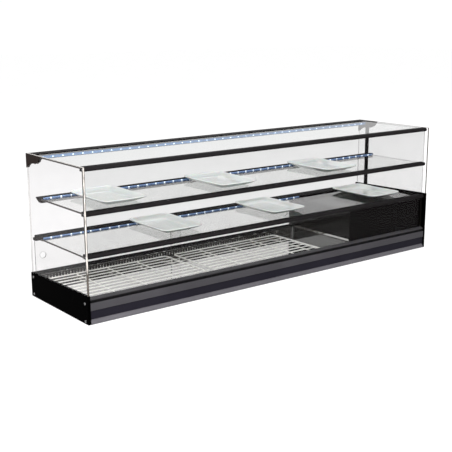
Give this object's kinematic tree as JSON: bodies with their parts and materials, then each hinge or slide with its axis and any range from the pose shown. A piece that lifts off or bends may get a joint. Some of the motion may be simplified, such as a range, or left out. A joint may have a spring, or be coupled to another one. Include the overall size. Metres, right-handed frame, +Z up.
{
  "type": "heated countertop food display case",
  "caption": "Long low glass display case with a polished heated tub, wire racks, glass shelves with dishes and light strips, sliding rear doors and a side equipment compartment.",
  "frame": {"origin": "centre of the footprint, on the surface that the feet stand on", "axes": "+X along the case towards the equipment compartment, -Y towards the customer, +Z up"},
  "size_m": [1.6044, 0.4, 0.504],
  "materials": {
    "feet_rubber": "matt",
    "base_steel": "satin powder coat",
    "insulation_wool": "fibrous",
    "element_sheath": "satin",
    "rail_grey": "satin anodised",
    "rail_insert_dark": "satin",
    "seal_rubber": "satin",
    "black_anodised": "satin anodised",
    "black_moulding": "fine texture",
    "polished_steel": "mirror polish",
    "slotted_steel": "satin",
    "end_gloss": "gloss",
    "bright_screw": "bright",
    "side_glass": "clear, polished edges",
    "pane_glass": "clear, polished edges",
    "door_acrylic": "clear, polished edges",
    "light_strip": "lit chips on a blue board",
    "rack_coating": "dipped coating",
    "dish_glaze": "smooth glaze",
    "compartment_gloss": "gloss",
    "panel_black": "satin powder coat",
    "rocker_red": "gloss",
    "driver_case": "satin",
    "terminal_ivory": "satin"
  },
  "bodies": {
    "case": {"bar_end_pins": "bright_screw", "base_pan": "base_steel", "cable_duct": "black_anodised", "cable_gland": "black_moulding", "compartment_front_panel": "compartment_gloss", "compartment_rear_panel": "panel_black", "compartment_side_panel": "compartment_gloss", "compartment_top": "compartment_gloss", "corner_brackets": "black_moulding", "door_track_upper": "black_moulding", "end_plate_left": "end_gloss", "end_plate_right": "end_gloss", "end_plate_screws": "bright_screw", "fan_frame": "black_moulding", "front_glass_lower": "pane_glass", "front_glass_middle": "pane_glass", "front_glass_upper": "pane_glass", "front_rail": "rail_grey", "front_rail_insert": "rail_insert_dark", "glass_seal": "seal_rubber", "heating_element": "element_sheath", "insulation_pad": "insulation_wool", "led_driver": "driver_case", "lower_shelf_front_bar": "black_anodised", "lower_shelf_glass": "pane_glass", "lower_shelf_led_strip": "light_strip", "lower_shelf_rear_profile": "black_anodised", "power_switch_body": "black_moulding", "profile_end_caps": "black_moulding", "rear_panel_screws": "bright_screw", "rear_rail": "black_anodised", "rear_vent_strip": "slotted_steel", "rubber_feet": "feet_rubber", "side_glass_left": "side_glass", "side_glass_right": "side_glass", "terminal_block": "terminal_ivory", "thermostat_body": "black_moulding", "top_front_bar": "black_anodised", "top_glass": "pane_glass", "top_led_strip": "light_strip", "top_rear_profile": "black_anodised", "tray_tub": "polished_steel", "upper_shelf_front_bar": "black_anodised", "upper_shelf_glass": "pane_glass", "upper_shelf_led_strip": "light_strip", "upper_shelf_rear_profile": "black_anodised"},
    "left_door": {"door_left": "door_acrylic"},
    "right_door": {"door_right": "door_acrylic"},
    "left_rack": {"rack_left": "rack_coating"},
    "right_rack": {"rack_right": "rack_coating"},
    "thermostat_dial": {"thermostat_knob": "black_moulding", "thermostat_spindle": "bright_screw"},
    "switch_rocker": {"power_switch_rocker": "rocker_red"},
    "fan_wheel": {"fan_rotor": "black_moulding"},
    "dish_lower_left_body": {"dish_lower_left": "dish_glaze"},
    "dish_lower_middle_body": {"dish_lower_middle": "dish_glaze"},
    "dish_lower_right_body": {"dish_lower_right": "dish_glaze"},
    "dish_upper_left_body": {"dish_upper_left": "dish_glaze"},
    "dish_upper_middle_body": {"dish_upper_middle": "dish_glaze"},
    "dish_upper_right_body": {"dish_upper_right": "dish_glaze"}
  },
  "joints": [
    {"name": "left_door_slide", "type": "slide", "parent": "case", "child": "left_door", "axis": [1, 0, 0], "range_m": [0, 0.558]},
    {"name": "right_door_slide", "type": "slide", "parent": "case", "child": "right_door", "axis": [-1, 0, 0], "range_m": [0, 0.558]},
    {"name": "left_rack_lift", "type": "slide", "parent": "case", "child": "left_rack", "axis": [0, 0, 1], "range_m": [0, 0.1]},
    {"name": "right_rack_lift", "type": "slide", "parent": "case", "child": "right_rack", "axis": [0, 0, 1], "range_m": [0, 0.1]},
    {"name": "thermostat_turn", "type": "hinge", "parent": "case", "child": "thermostat_dial", "pos_m": [0.53, 0.18, 0.15], "axis": [0, -1, 0], "range_deg": [0, 270]},
    {"name": "switch_rock", "type": "hinge", "parent": "case", "child": "switch_rocker", "pos_m": [0.45, 0.1785, 0.15], "axis": [1, 0, 0], "range_deg": [0, 16]},
    {"name": "fan_spin", "type": "hinge", "parent": "case", "child": "fan_wheel", "pos_m": [0.645, 0.16, 0.15], "axis": [0, 1, 0], "continuous": true},
    {"name": "lower_left_dish_lift", "type": "slide", "parent": "case", "child": "dish_lower_left_body", "axis": [0, 0, 1], "range_m": [0, 0.08]},
    {"name": "lower_middle_dish_lift", "type": "slide", "parent": "case", "child": "dish_lower_middle_body", "axis": [0, 0, 1], "range_m": [0, 0.08]},
    {"name": "lower_right_dish_lift", "type": "slide", "parent": "case", "child": "dish_lower_right_body", "axis": [0, 0, 1], "range_m": [0, 0.08]},
    {"name": "upper_left_dish_lift", "type": "slide", "parent": "case", "child": "dish_upper_left_body", "axis": [0, 0, 1], "range_m": [0, 0.08]},
    {"name": "upper_middle_dish_lift", "type": "slide", "parent": "case", "child": "dish_upper_middle_body", "axis": [0, 0, 1], "range_m": [0, 0.08]},
    {"name": "upper_right_dish_lift", "type": "slide", "parent": "case", "child": "dish_upper_right_body", "axis": [0, 0, 1], "range_m": [0, 0.08]}
  ]
}
